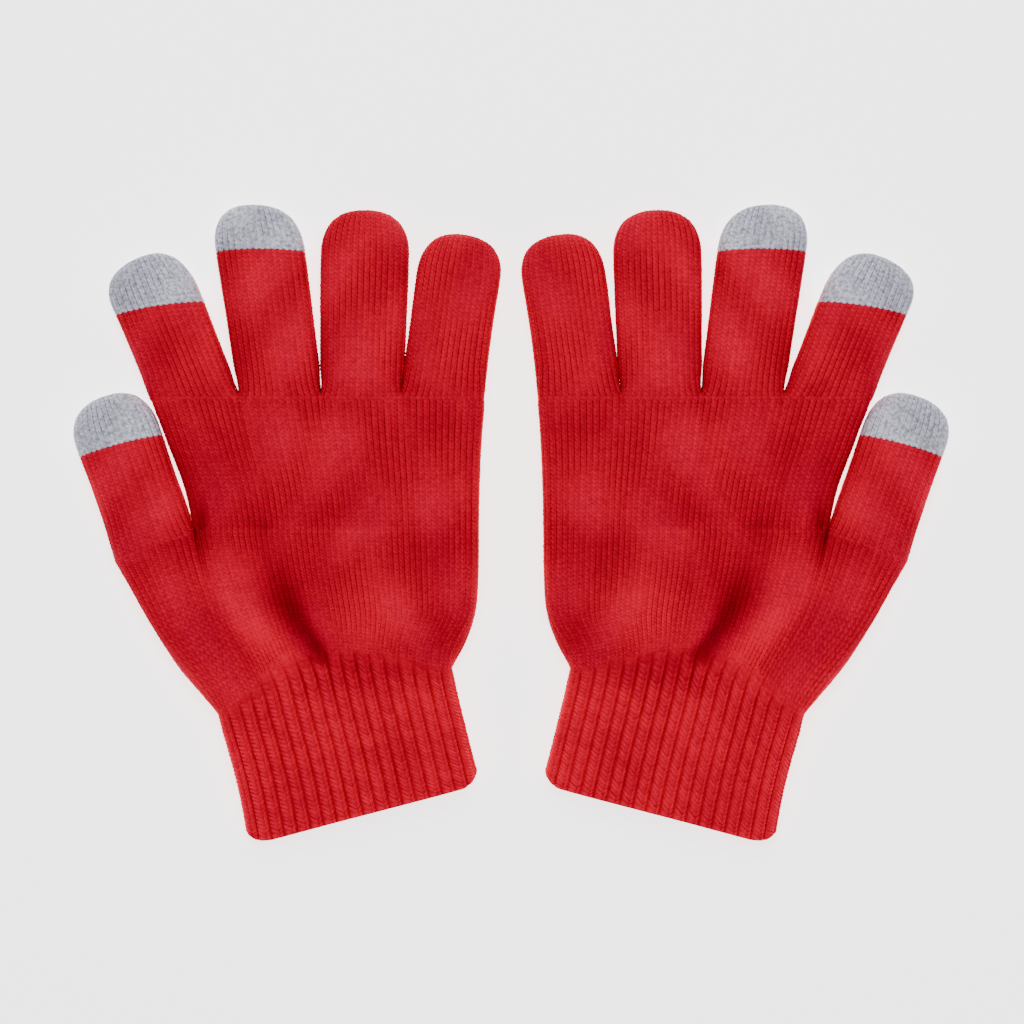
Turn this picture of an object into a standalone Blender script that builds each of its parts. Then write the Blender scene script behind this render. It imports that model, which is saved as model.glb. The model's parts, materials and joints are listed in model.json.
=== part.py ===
"""A pair of knitted touchscreen gloves, lying palm up with the thumbs outwards.

Metres. X runs across the pair, Y from the cuffs to the fingertips and Z up from the table.
Everything is described for the glove at +X and mirrored in X = 0 for the other one.
Each glove is a row of knitted tubes with open ends, so a hand can go in through the cuff.
"""

import math

import bmesh
import bpy
from mathutils import Vector

MM = 0.001

# The fabric
WALL = 1.6 * MM
GAP = 0.3 * MM
FLAT_SHARE = 0.85

# How square a lying tube is: 2 is an ellipse, more is squarer
FINGER_SQUARENESS = 2.4
PALM_SQUARENESS = 2.8
FINGER_SEGMENTS = 16
PALM_SEGMENTS = 32

# Thickness of the lying glove, from the table up to its top
CUFF_THICK = 15.0 * MM
KNUCKLE_THICK = 14.0 * MM
THUMB_ROOT_THICK = 15.0 * MM
TIP_THICK = 12.6 * MM

# The cuff: a straight ribbed tube that leans towards the other glove
CUFF_LEAN = math.radians(12.0)
CUFF_TOP = Vector((60.4, -59.1)) * MM
CUFF_LENGTH = 43.0 * MM
CUFF_HALF_WIDTH = 40.3 * MM
CUFF_SLANT = 0.045
WELT_LENGTH = 2.4 * MM
CORNER_LIFT = 3.0 * MM
CORNER_START = 0.72
ELASTIC_RADIUS = 0.6 * MM
ELASTIC_HEIGHT = 8.0 * MM
ELASTIC_POINTS = 28

# Sections of the palm in millimetres, each as (x, y, thickness) from the little finger's side
# to the thumb's side. The lower palm ends under both the upper palm and the thumb.
KNUCKLE_Y = 41.0
CROTCH_Y = -5.0
LOWER_PALM = (
    ((21.2, -50.7, 16.0), (100.3, -67.0, 16.0)),
    ((16.0, -41.5, 19.5), (114.2, -51.0, 19.5)),
    ((13.1, -31.0, 22.0), (124.4, -36.0, 20.0)),
    ((12.2, -19.5, 22.0), (131.8, -22.5, 18.0)),
    ((12.1, CROTCH_Y, 20.0), (109.7, CROTCH_Y, 18.0), (135.6, -14.4, 15.0)),
)
UPPER_PALM = (
    ((12.1, CROTCH_Y, 20.0), (109.7, CROTCH_Y, 18.0)),
    ((12.0, 10.5, 18.5), (113.2, 10.5, 17.0)),
    ((11.4, 26.0, 16.5), (118.6, 26.0, 15.5)),
    ((10.3, KNUCKLE_Y, 14.0), (124.2, KNUCKLE_Y, 14.0)),
)

# name: root (x, y), lean outwards in degrees, length to the tip, half width at the root and at
# the tip, the two joints as shares of the length, and the length of the conductive tip
FINGERS = {
    "index": ((109.15, KNUCKLE_Y), 21.6, 53.2, 13.9, 15.1, (0.36, 0.58), 17.5),
    "middle": ((79.75, KNUCKLE_Y), 8.0, 67.8, 13.6, 14.8, (0.36, 0.62), 16.0),
    "ring": ((51.95, KNUCKLE_Y), -1.3, 65.8, 13.6, 14.9, (0.36, 0.62), 0.0),
    "little": ((24.2, KNUCKLE_Y), -8.1, 57.4, 13.6, 14.2, (0.36, 0.62), 0.0),
    "thumb": ((122.7, -9.7), 19.4, 54.6, 13.6, 15.0, (0.50,), 18.3),
}
DOME_ANGLES = (0.0, 28.0, 52.0, 72.0)
DOME_SQUARENESS = 2.35

# Colour, roughness and metallic of each yarn
FINISHES = {
    "red_yarn": ((0.58, 0.005, 0.02, 1.0), 0.9, 0.0),
    "grey_conductive_yarn": ((0.48, 0.50, 0.56, 1.0), 0.8, 0.1),
    "covered_elastic": ((0.45, 0.01, 0.03, 1.0), 0.7, 0.0),
}


def clear_scene():
    for obj in list(bpy.data.objects):
        bpy.data.objects.remove(obj, do_unlink=True)


def new_collection(name):
    collection = bpy.data.collections.new(name)
    bpy.context.scene.collection.children.link(collection)
    return collection


def make_material(name):
    colour, roughness, metallic = FINISHES[name]
    material = bpy.data.materials.new(name)
    material.use_nodes = True
    shader = material.node_tree.nodes["Principled BSDF"]
    shader.inputs["Base Color"].default_value = colour
    shader.inputs["Roughness"].default_value = roughness
    shader.inputs["Metallic"].default_value = metallic
    material.diffuse_color = colour
    return material


def signed_power(value, power):
    return math.copysign(abs(value) ** power, value)


def point_on_line(knots, share):
    """The (x, y, thickness) at a share of the way along a section's line of knots."""
    spans = [(Vector(b[:2]) - Vector(a[:2])).length for a, b in zip(knots, knots[1:])]
    left = share * sum(spans)
    for (a, b), span in zip(zip(knots, knots[1:]), spans):
        if left <= span or b is knots[-1]:
            return Vector(a).lerp(Vector(b), left / span)
        left -= span


def section_point(knots, angle, squareness):
    """A point of a lying tube's section: a superellipse whose underside is flat on the table."""
    across = signed_power(math.cos(angle), 2 / squareness)
    height = signed_power(math.sin(angle), 2 / squareness)
    x, y, thick = point_on_line(knots, (1 + across) / 2)
    raised = (max(height, -FLAT_SHARE) + FLAT_SHARE) / (1 + FLAT_SHARE)
    return Vector((x, y, thick * raised))


def tube(name, sections, side, pivot, material, collection, closed=False, segments=FINGER_SEGMENTS,
         squareness=FINGER_SQUARENESS):
    """A knitted tube through a list of sections, with a wall of fabric and a mouth at each end.

    A unit ring is extruded once for each section, then every ring is laid on its section.
    """
    bm = bmesh.new()
    bmesh.ops.create_circle(bm, segments=segments, radius=1)
    edges = bm.edges[:]
    for _ in sections[1:]:
        grown = bmesh.ops.extrude_edge_only(bm, edges=edges)["geom"]
        ring = [g for g in grown if isinstance(g, bmesh.types.BMVert)]
        edges = [g for g in grown if isinstance(g, bmesh.types.BMEdge)]
        edges = [e for e in edges if all(v in ring for v in e.verts)]
        bmesh.ops.translate(bm, verts=ring, vec=(0, 0, 1))
    if closed:
        bmesh.ops.contextual_create(bm, geom=edges)
    half_step = math.pi / segments
    for vert in bm.verts:
        angle = math.atan2(vert.co.y, vert.co.x) + half_step
        vert.co = section_point(sections[round(vert.co.z)], angle, squareness) - pivot
    bmesh.ops.scale(bm, vec=(side, 1, 1), verts=bm.verts[:])
    face_outwards(bm)
    place(name, bm, side, pivot, material, collection)


def face_outwards(bm):
    """Give an open tube one winding, with its faces pointing away from its middle."""
    bmesh.ops.recalc_face_normals(bm, faces=bm.faces[:])
    middle = sum((v.co for v in bm.verts), Vector()) / len(bm.verts)
    facing = sum(f.normal.dot(f.calc_center_median() - middle) * f.calc_area() for f in bm.faces)
    if facing < 0:
        bmesh.ops.reverse_faces(bm, faces=bm.faces[:])


def place(name, bm, side, pivot, material, collection):
    """Turn a bmesh into a named object whose origin is on its joint, with a wall of fabric."""
    mesh = bpy.data.meshes.new(name)
    bm.to_mesh(mesh)
    bm.free()
    mesh.materials.append(material)
    mesh.shade_smooth()
    mesh.set_sharp_from_angle(angle=math.radians(50))
    obj = bpy.data.objects.new(name, mesh)
    obj.location = (side * pivot.x, pivot.y, pivot.z)
    collection.objects.link(obj)
    wall = obj.modifiers.new("wall", "SOLIDIFY")
    wall.thickness = WALL
    wall.offset = -1
    wall.use_even_offset = True


def finger_section(root, lean, along, half_width, thick, turn):
    """The section across a finger at a distance along it, turned from square by an angle."""
    axis = Vector((math.sin(lean), math.cos(lean)))
    across = Vector((math.cos(lean - turn), -math.sin(lean - turn)))
    reach = half_width / math.cos(turn)
    middle = Vector(root) * MM + axis * along
    low, high = middle - across * reach, middle + across * reach
    return (low.x, low.y, thick), (high.x, high.y, thick)


def finger(name, side, materials, collection):
    """One finger or the thumb: a tube for each bone and a closed, rounded tip."""
    root, lean, length, root_half, tip_half, joints, cap = FINGERS[name]
    lean = math.radians(lean)
    length, root_half, tip_half, cap = (v * MM for v in (length, root_half, tip_half, cap))
    dome_start = length - tip_half
    root_turn = 0.0 if name == "thumb" else lean
    root_thick = THUMB_ROOT_THICK if name == "thumb" else KNUCKLE_THICK

    def section(along, widen=1.0, thin=1.0, turn=0.0):
        share = min(along / dome_start, 1.0)
        half = root_half + (tip_half - root_half) * share
        thick = root_thick + (TIP_THICK - root_thick) * share
        return finger_section(root, lean, along, half * widen, thick * thin, turn)

    def hinge_point(along):
        low, high = section(along)
        return Vector(((low[0] + high[0]) / 2, (low[1] + high[1]) / 2, low[2]))

    def dome():
        shrink = [math.radians(a) for a in DOME_ANGLES]
        sizes = [(math.sin(a) ** (2 / DOME_SQUARENESS), math.cos(a) ** (2 / DOME_SQUARENESS))
                 for a in shrink]
        return [section(dome_start + tip_half * up, wide, 0.25 + 0.75 * wide) for up, wide in sizes]

    places = [share * length for share in joints]
    words = ("base", "tip") if len(places) == 1 else ("base", "mid", "tip")
    starts = [0.0] + places
    ends = places + [length - cap if cap else length]
    for word, start, end in zip(words, starts, ends):
        last = end == ends[-1]
        turn = root_turn if start == 0.0 else 0.0
        sections = [section(start + GAP / 2, turn=turn)]
        if last and not cap:
            sections += dome()
        else:
            sections.append(section(end - GAP / 2))
        tube(f"{prefix(side)}_{name}_{word}", sections, side, hinge_point(start),
             materials["red_yarn"], collection, closed=last and not cap)
    if cap:
        tube(f"{prefix(side)}_{name}_conductive_tip", [section(length - cap + GAP / 2)] + dome(),
             side, hinge_point(places[-1]), materials["grey_conductive_yarn"], collection,
             closed=True)


def prefix(side):
    return "right" if side > 0 else "left"


def palm(side, materials, collection):
    """The five-finger body below the thumb's crotch and the four-finger body above it."""
    for word, drawing, rise, drop in (
        ("lower_palm", LOWER_PALM, GAP, 0.0),
        ("upper_palm", UPPER_PALM, GAP, GAP / 2),
    ):
        sections = [[Vector(knot) * MM for knot in section] for section in drawing]
        sections[0] = [knot + Vector((0, rise, 0)) for knot in sections[0]]
        sections[-1] = [knot - Vector((0, drop, 0)) for knot in sections[-1]]
        tube(f"{prefix(side)}_{word}", sections, side, Vector((0, 0, 0)), materials["red_yarn"],
             collection, segments=PALM_SEGMENTS, squareness=PALM_SQUARENESS)


def cuff_section(down, lift=0.0):
    """The section across the cuff at a distance below the wrist, its ends lifted by an amount.

    The thumb's side is a little longer than the little finger's side.
    """
    axis = Vector((math.sin(CUFF_LEAN), math.cos(CUFF_LEAN)))
    across = Vector((math.cos(CUFF_LEAN), -math.sin(CUFF_LEAN)))
    knots = []
    for share in (-1.0, -0.9, -CORNER_START, 0.0, CORNER_START, 0.9, 1.0):
        raised = lift * max(0.0, (abs(share) - CORNER_START) / (1 - CORNER_START)) ** 2
        fall = down * (1 + CUFF_SLANT * share) - raised
        spot = CUFF_TOP + across * CUFF_HALF_WIDTH * share - axis * fall
        knots.append((spot.x, spot.y, CUFF_THICK))
    return knots


def cuff(side, materials, collection):
    """The ribbed cuff, its cast-on edge and the elastic thread inside it."""
    pivot = Vector((0, 0, 0))
    edge = CUFF_LENGTH - WELT_LENGTH
    tube(f"{prefix(side)}_ribbed_cuff",
         [cuff_section(edge - GAP, CORNER_LIFT), cuff_section(edge / 2), cuff_section(GAP)],
         side, pivot, materials["red_yarn"], collection, segments=PALM_SEGMENTS,
         squareness=PALM_SQUARENESS)
    tube(f"{prefix(side)}_cuff_edge",
         [cuff_section(CUFF_LENGTH, CORNER_LIFT * 1.25), cuff_section(edge, CORNER_LIFT)],
         side, pivot, materials["red_yarn"], collection, segments=PALM_SEGMENTS,
         squareness=PALM_SQUARENESS)
    elastic(side, materials, collection)


def elastic(side, materials, collection):
    """A closed ring of covered elastic thread that lies inside the cuff, clear of its wall."""
    knots = cuff_section(ELASTIC_HEIGHT)
    middle = point_on_line(knots, 0.5)
    centre = Vector((middle.x, middle.y, CUFF_THICK / 2))
    inset = WALL + GAP + ELASTIC_RADIUS
    curve = bpy.data.curves.new(f"{prefix(side)}_cuff_elastic", "CURVE")
    curve.dimensions = "3D"
    spline = curve.splines.new("POLY")
    spline.points.add(ELASTIC_POINTS - 1)
    spline.use_cyclic_u = True
    for i, point in enumerate(spline.points):
        angle = 2 * math.pi * (i + 0.5) / ELASTIC_POINTS
        spot = section_point(knots, angle, PALM_SQUARENESS)
        flat = Vector((spot.x, spot.y, 0)) - Vector((centre.x, centre.y, 0))
        flat *= 1 - 2.2 * inset / CUFF_HALF_WIDTH
        height = centre.z + (spot.z - centre.z) * (1 - 2.2 * inset / CUFF_THICK)
        point.co = (side * (centre.x + flat.x), centre.y + flat.y, height, 1)
    curve.bevel_depth = ELASTIC_RADIUS
    curve.bevel_resolution = 1
    curve.materials.append(materials["covered_elastic"])
    collection.objects.link(bpy.data.objects.new(curve.name, curve))


def main():
    clear_scene()
    gloves = new_collection("touchscreen_gloves")
    materials = {name: make_material(name) for name in FINISHES}
    for side in (-1, 1):
        cuff(side, materials, gloves)
        palm(side, materials, gloves)
        for name in FINGERS:
            finger(name, side, materials, gloves)


main()
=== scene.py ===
"""A pair of knitted touchscreen gloves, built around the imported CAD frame."""

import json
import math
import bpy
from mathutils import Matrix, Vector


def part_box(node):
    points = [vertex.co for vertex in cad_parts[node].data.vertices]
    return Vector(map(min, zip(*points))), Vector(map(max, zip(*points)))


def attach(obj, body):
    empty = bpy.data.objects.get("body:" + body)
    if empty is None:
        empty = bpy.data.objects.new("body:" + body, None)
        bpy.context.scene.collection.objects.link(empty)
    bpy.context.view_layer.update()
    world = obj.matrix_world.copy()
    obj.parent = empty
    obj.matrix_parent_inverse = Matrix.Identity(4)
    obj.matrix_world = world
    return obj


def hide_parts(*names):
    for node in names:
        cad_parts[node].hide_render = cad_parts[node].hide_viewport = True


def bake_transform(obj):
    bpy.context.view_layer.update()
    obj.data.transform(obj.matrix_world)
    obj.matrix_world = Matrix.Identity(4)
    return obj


bl_info = {
    "name": "Touchscreen Gloves",
    "version": (1, 0, 0),
    "blender": (4, 5, 0),
    "location": "3D Viewport > Sidebar > Gloves",
    "description": "Builds a pair of knitted gloves with conductive tips and ribbed cuffs",
    "category": "Add Mesh",
}

import bmesh
import bpy
import numpy as np
from mathutils import Matrix, Vector

MM = 0.001
SIDES = {"left": -1.0, "right": 1.0}
DIGITS = ("thumb", "index", "middle", "ring", "little")
FINGERS = ("index", "middle", "ring", "little")

# Outline of the lower palm, in millimetres from the lower inner corner of its CAD box,
# from the wrist up to the crotch of the thumb.
LITTLE_EDGE = ((8.2, 16.0), (3.1, 25.2), (0.1, 35.7), (-0.8, 47.2), (-1.0, 61.7))
THUMB_EDGE = ((88.2, 0.0), (101.6, 16.0), (111.2, 31.0), (118.7, 44.2), (122.9, 52.3))
THUMB_CROTCH = (97.4, 61.7)
THUMB_SHARE = 0.8

# Shift of the root, half width at the root and half width at the tip, in millimetres.
DIGIT_WIDTHS = {
    "thumb": (-0.9, 14.6, 14.4),
    "index": (-1.3, 14.5, 14.7),
    "middle": (-0.7, 14.5, 14.9),
    "ring": (-0.5, 14.4, 14.9),
    "little": (0.0, 14.4, 14.1),
}

# How much further than its joint's axis the soft index finger leans outwards, and how much
# shorter its knit is than its CAD box.
INDEX_TURN = math.radians(0.8)
INDEX_SHORTER = 0.9 * MM

# Length of each conductive tip, in millimetres.
CAP_LENGTHS = {"thumb": 17.2, "index": 17.5, "middle": 16.3}

# Whether the inner and the outer side of a finger is pinched by a neighbour at its crotch.
PINCHED = {"thumb": (0.5, 0), "index": (1, 0), "middle": (1, 1), "ring": (1, 1), "little": (0, 1)}

# Start of each finger's slow unevenness, in radians.
PHASES = {"thumb": 0.3, "index": 1.7, "middle": 3.1, "ring": 4.0, "little": 5.2}

# Stitches across one face of each tube, and ribs across one face of the cuff.
FINGER_WALES = 16
UPPER_WALES = 52
LOWER_WALES = 64
CUFF_RIBS = 18

# Share of a tube's thickness that lies below its widest line.
LOWER_SHARE = 0.45

# Roundness of the sections: 2 is an ellipse, and more is squarer.
PALM_POWER = 2.8
FINGER_POWER = 2.4
ROOT_POWER = 5.0
THUMB_ROOT_POWER = 3.3

TIP_THICKNESS = 12.8 * MM
CUFF_LEAN = math.radians(12.0)
CUFF_LENGTH = 43.0 * MM
CUFF_HALF = 40.7 * MM
PALM_RISE = 52 * MM

# Courses by which neighbouring pieces overlap, the most that a joint's zone takes on either side
# of its hinge, and the least that it keeps away from a piece's ends.
TUCK = 1.3
BEND_ROOM = 5.0
BEND_MARGIN = 1.2

# Height in courses that stands for no conductive tip, far below every piece.
NO_CAP = -9

# Edges of the upper palm, in millimetres from the lower inner corner of its CAD box.
UPPER_INNER = ((0.8, 0.0), (0.6, 15.5), (0.0, 31.0), (-1.1, 46.0))
UPPER_OUTER = ((97.9, 0.0), (101.2, 15.5), (107.0, 31.0), (112.6, 46.0))

# Middle of the cuff's upper edge, in millimetres from the middle of its CAD box.
CUFF_TOP = (2.7, 19.6)

# The hollow beside the ball of the thumb, in millimetres from the crotch of the thumb's height:
# height, distance from the lower palm's inner side, depth from 0 to 1, and half width.
HOLLOW = (
    (-47.0, 50.2, 0.0, 2.4),
    (-43.5, 52.0, 0.6, 2.8),
    (-39.0, 54.2, 1.0, 3.2),
    (-33.7, 57.8, 1.0, 3.5),
    (-23.8, 63.2, 0.72, 4.2),
    (-11.3, 68.6, 0.38, 4.6),
    (0.0, 71.6, 0.2, 4.6),
    (12.0, 74.2, 0.0, 4.8),
)

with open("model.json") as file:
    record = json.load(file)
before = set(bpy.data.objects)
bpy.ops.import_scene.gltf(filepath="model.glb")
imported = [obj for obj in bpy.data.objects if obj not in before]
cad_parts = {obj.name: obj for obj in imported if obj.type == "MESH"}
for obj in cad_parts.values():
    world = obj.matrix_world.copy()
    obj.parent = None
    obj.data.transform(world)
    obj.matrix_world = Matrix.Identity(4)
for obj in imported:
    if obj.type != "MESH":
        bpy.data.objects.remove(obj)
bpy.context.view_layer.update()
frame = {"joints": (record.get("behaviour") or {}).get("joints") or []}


# ---------------------------------------------------------------- settings


def length(name, millimetres, description):
    """A length property whose default is given in millimetres."""
    return bpy.props.FloatProperty(
        name=name,
        description=description,
        default=millimetres * MM,
        unit="LENGTH",
        subtype="DISTANCE",
    )


def colour(name, rgb, description):
    """A colour property whose default is given in sRGB from 0 to 255."""
    return bpy.props.FloatVectorProperty(
        name=name,
        description=description,
        default=linear(rgb),
        subtype="COLOR",
        size=3,
        min=0.0,
        max=1.0,
    )


def linear(rgb):
    """sRGB from 0 to 255 as linear light."""
    shares = [c / 255.0 for c in rgb]
    return tuple(s / 12.92 if s <= 0.04045 else ((s + 0.055) / 1.055) ** 2.4 for s in shares)


class TouchscreenGlovesSettings(bpy.types.PropertyGroup):
    """Sizes and colours of the pair"""

    wall: length("Fabric thickness", 1.5, "Thickness of one layer of the knit")
    course: length("Course height", 1.45, "Height of one row of stitches")
    relief: length("Stitch relief", 0.42, "How far a stitch stands above the grooves")
    rib_depth: length("Rib depth", 0.6, "Depth of the grooves between the cuff's ribs")
    cuff_course: length("Cuff course height", 1.5, "Height of one row of stitches in the cuff")
    arch: length("Rib arch", 14.0, "How far the ribs reach up into the middle of the palm")
    hollow: length("Palm hollow", 2.8, "Depth of the hollow beside the ball of the thumb")
    leg_share: bpy.props.FloatProperty(
        name="Leg share",
        description="Share of a stitch's width that its wider leg takes",
        default=0.62,
        min=0.5,
        max=0.8,
    )
    slant: bpy.props.FloatProperty(
        name="Stitch slant",
        description="Rise of a stitch's leg across its width, in courses",
        default=0.8,
        min=0.0,
        max=1.5,
    )
    yarn: colour("Yarn", (206, 0, 40), "Main colour of the red yarn")
    # Painted highlight: the red yarn's colour on its proud stitches, where light falls.
    yarn_highlight: colour("Yarn light", (234, 10, 66), "Red yarn where it stands proud")
    # Painted shade: the red yarn's colour down in the grooves, where shade falls.
    yarn_groove_shade: colour("Yarn dark", (112, 0, 14), "Red yarn down in the grooves")
    grey: colour("Conductive yarn", (215, 214, 231), "Main colour of the conductive yarn")
    # Painted highlight: the conductive yarn's colour on its proud stitches, where light falls.
    grey_highlight: colour("Conductive yarn light", (245, 245, 255), "Its lightest stitches")
    # Painted shade: the conductive yarn's colour down in the grooves, where shade falls; its real
    # flecks are the fleck colour in grey_yarn.
    grey_groove_shade: colour("Conductive yarn dark", (86, 88, 106), "Its darkest flecks")
    elastic: colour("Elastic", (226, 222, 214), "Colour of the covered elastic")
    floor: colour("Floor", (252, 252, 252), "Colour of the floor")


def settings():
    """The pair's sizes and colours."""
    return bpy.context.scene.touchscreen_gloves


# ---------------------------------------------------------------- curves


def smoothstep(value):
    """0 below 0, 1 above 1, and smooth between."""
    t = np.clip(value, 0.0, 1.0)
    return t * t * (3.0 - 2.0 * t)


def pillow(share, power):
    """Height from 0 to 1 of a superellipse across shares from -1 to 1."""
    return np.clip(1.0 - np.abs(share) ** power, 0.0, 1.0) ** (1.0 / power)


def through(points, t):
    """A smooth curve through evenly spaced points, for t from 0 to 1."""
    p = np.array(points, float)
    p = np.vstack((2 * p[0] - p[1], p, 2 * p[-1] - p[-2]))
    spans = len(p) - 3
    place = np.clip(t, 0.0, 1.0) * spans
    i = np.minimum(place.astype(int), spans - 1)
    f = (place - i)[..., None]
    a, b, c, d = p[i], p[i + 1], p[i + 2], p[i + 3]
    curve = 2 * b + (c - a) * f + (2 * a - 5 * b + 4 * c - d) * f**2
    return 0.5 * (curve + (3 * b - a - 3 * c + d) * f**3)


def even_shares(count, half_width, height, power):
    """A lookup from 0..count to shares -1..1 that are evenly spaced along a section."""
    s = np.sin(np.linspace(-math.pi / 2, math.pi / 2, 1501))
    x = s * half_width
    z = pillow(s, power) * height
    run = np.concatenate(([0.0], np.cumsum(np.hypot(np.diff(x), np.diff(z)))))
    run *= count / run[-1]
    return run, s


def unfold(q, wales):
    """Ring position in wales as (position from 0 to wales, +1 on the palm side or -1)."""
    q = np.mod(q, 2 * wales)
    upper = q <= wales
    return np.where(upper, q, 2 * wales - q), np.where(upper, 1.0, -1.0)


# ---------------------------------------------------------------- shapes
# A shape is a function of the ring position in wales, the height in courses and the depth
# below the outer surface, that returns points of the glove on the +X side.


class Finger:
    """Tube and domed tip of one finger or thumb."""

    def __init__(self, digit, wales):
        side = "right_"
        joints = {j["name"]: j for j in frame["joints"]}
        first = side + digit + ("_base_joint" if digit == "thumb" else "_knuckle")
        second = side + digit + ("_end_joint" if digit == "thumb" else "_middle_joint")
        axis = joints[second]["axis"]
        self.root = np.array(joints[first]["pos_m"][:2])
        self.lean = math.atan2(-axis[1], axis[0]) + (INDEX_TURN if digit == "index" else 0.0)
        self.digit = digit
        self.wales = wales
        self.thick = joints[first]["pos_m"][2]
        last = "conductive_tip" if digit in CAP_LENGTHS else "tip"
        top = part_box(side + digit + "_" + last)[1]
        shift, base, tip = DIGIT_WIDTHS[digit]
        self.root[0] += shift * MM
        self.tip = tip * MM
        self.base = base * MM
        lift = self.tip * (1 - math.cos(self.lean))
        self.length = (top.y - self.root[1] - lift) / math.cos(self.lean)
        self.length -= INDEX_SHORTER if digit == "index" else 0.0
        self.tube = self.length - self.tip
        self.course = settings().course
        self.tube_courses = self.tube / self.course
        self.root_power = THUMB_ROOT_POWER if digit == "thumb" else ROOT_POWER
        self.dome_table()
        self.root_shares = even_shares(wales, self.base, 4.6 * MM, self.root_power)
        self.tube_shares = even_shares(wales, self.tip, 3.9 * MM, FINGER_POWER)

    def dome_table(self):
        """Lookup from courses past the tube to the dome's own coordinate, and the cap's start."""
        t = np.sin(np.linspace(0, math.pi / 2, 401))
        rise = pillow(t, FINGER_POWER) * TIP_THICKNESS * 0.5
        run = np.concatenate(([0.0], np.cumsum(np.hypot(np.diff(t * self.tip), np.diff(rise)))))
        self.dome_courses = round(self.tube_courses + run[-1] / self.course) - self.tube_courses
        self.dome = (run * self.dome_courses / run[-1], t)
        self.courses = int(round(self.tube_courses + self.dome_courses))
        self.cap = self.courses
        if self.digit in CAP_LENGTHS:
            below = self.length - CAP_LENGTHS[self.digit] * MM
            self.cap = int(round(below / self.course))

    def shares(self, q, y):
        """Share across the finger, and which face, at a ring position."""
        place, face = unfold(q, self.wales)
        near = np.interp(place, *self.root_shares)
        far = np.interp(place, *self.tube_shares)
        return near + (far - near) * smoothstep(y / (14 * MM)), face

    def skew(self, y):
        """Angle of the courses, which starts level and ends square to the finger."""
        along = np.clip(y / self.length, 0, 1)
        if self.digit == "thumb":
            return self.lean - math.radians(5.0) * np.sin(math.pi * along)
        return (0.0 if self.digit == "middle" else self.lean) * along**2.2

    def __call__(self, q, v, depth=0.0):
        y = np.minimum(v, self.tube_courses) * self.course
        u, face = self.shares(q, y)
        t = np.interp(v - self.tube_courses, *self.dome)
        along = np.clip(y / self.tube, 0, 1)
        half = self.base + (self.tip - self.base) * smoothstep(along * 1.4)
        half = half - 0.3 * MM * np.sin(math.pi * np.clip(along * 1.1, 0, 1)) - depth
        half = half - self.pinch(u, y)
        thick = self.thick + (TIP_THICKNESS - self.thick) * along
        power = self.root_power + (FINGER_POWER - self.root_power) * smoothstep(y / (13 * MM))
        spread = np.sqrt(1 - t * t / 2)
        reach = np.sqrt(1 - u * u / 2)
        rho = np.sqrt(np.clip(u * u + t * t - u * u * t * t, 0, 1))
        angle = np.arctan2(t * reach, np.abs(u) * spread + 1e-9)
        square = (np.cos(angle) ** 2.35 + np.sin(angle) ** 2.35) ** (-1 / 2.35)
        square = 1 + (square - 1) * rho**2
        across = half * u * spread * square
        forward = y + (self.tip - depth) * t * reach * square
        bow = 0.7 * MM * smoothstep(y / (20 * MM)) * (1 - t)
        forward = forward - bow * u * u
        middle = LOWER_SHARE * thick
        rise = np.where(face > 0, thick - middle, middle) - depth
        floor_power = np.where(face > 0, power, power + 1.0)
        z = middle + face * rise * pillow(rho, floor_power)
        z = z + self.ripple(u, forward) * face * pillow(rho, 2.0)
        skew = self.skew(forward)
        across = across / np.cos(self.lean - skew)
        x = self.root[0] + math.sin(self.lean) * forward + np.cos(skew) * across
        y = self.root[1] + math.cos(self.lean) * forward - np.sin(skew) * across
        return np.stack((x, y, z), -1)

    def pinch(self, u, y):
        """Narrowing beside the neighbouring fingers just above the crotch."""
        inner, outer = PINCHED[self.digit]
        near = smoothstep(y / (3.5 * MM)) * (1 - smoothstep((y - 4 * MM) / (10 * MM)))
        return 0.75 * MM * np.where(u < 0, inner, outer) * near

    def ripple(self, u, forward):
        """Slight unevenness of the soft tube."""
        phase = PHASES[self.digit]
        wave = np.sin(forward / (7.5 * MM) + phase + 1.1 * u) + 0.6 * np.sin(3.1 * u + phase)
        return 0.22 * MM * wave * smoothstep(forward / (10 * MM))

    def worn(self, points):
        """Random patches, and lighter away from the root: a painted highlight on the thumb and a
        smaller lift on the fingers, from -1 to 1.
        """
        x = (points[..., 0] - self.root[0]) / MM
        y = (points[..., 1] - self.root[1]) / MM
        soft = 0.28 * np.sin(x / 7.0 + y / 19.0 + self.thick * 1e3) * np.sin(y / 10.0 + x / 23.0)
        # Painted highlight on the thumb; a smaller lift on the fingers.
        return soft + (0.3 if self.digit == "thumb" else 0.12) * smoothstep(y / 14.0)

    def point(self, courses):
        """A point on the finger's middle line, at that height in courses."""
        return Vector(self(np.array(self.wales / 2), np.array(float(courses))))

    def hinges(self):
        """Heights in courses of the finger's joints."""
        joints = {j["name"]: j for j in frame["joints"]}
        names = ("end_joint",) if self.digit == "thumb" else ("middle_joint", "end_joint")
        heights = [0.0]
        for name in names:
            place = np.array(joints[f"right_{self.digit}_{name}"]["pos_m"][:2]) - self.root
            heights.append(math.hypot(*place) / self.course)
        return heights


def palm_hollow(points):
    """Depth from 0 to 1 of the hollow by the ball of the thumb and the dimple at its crotch."""
    low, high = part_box("right_lower_palm")
    x = (points[..., 0] - low.x) / MM
    y = (points[..., 1] - high.y) / MM
    heights, *rest = zip(*HOLLOW)
    middle, depth, width = (np.interp(y, heights, values) for values in rest)
    off = (x - middle) / (width * np.where(x > middle, 1.7, 1.1))
    dimple = 0.3 * np.exp(-(((x - 93.6) / 2.2) ** 2) - ((y - 2.5) / 7.0) ** 2)
    return np.maximum(depth * np.exp(-(off**2)), dimple)


def palm_side(points):
    """1 for points on the palm side of a glove and 0 on its back."""
    return smoothstep((points[..., 2] / MM - 4.0) / 3.0)


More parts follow.
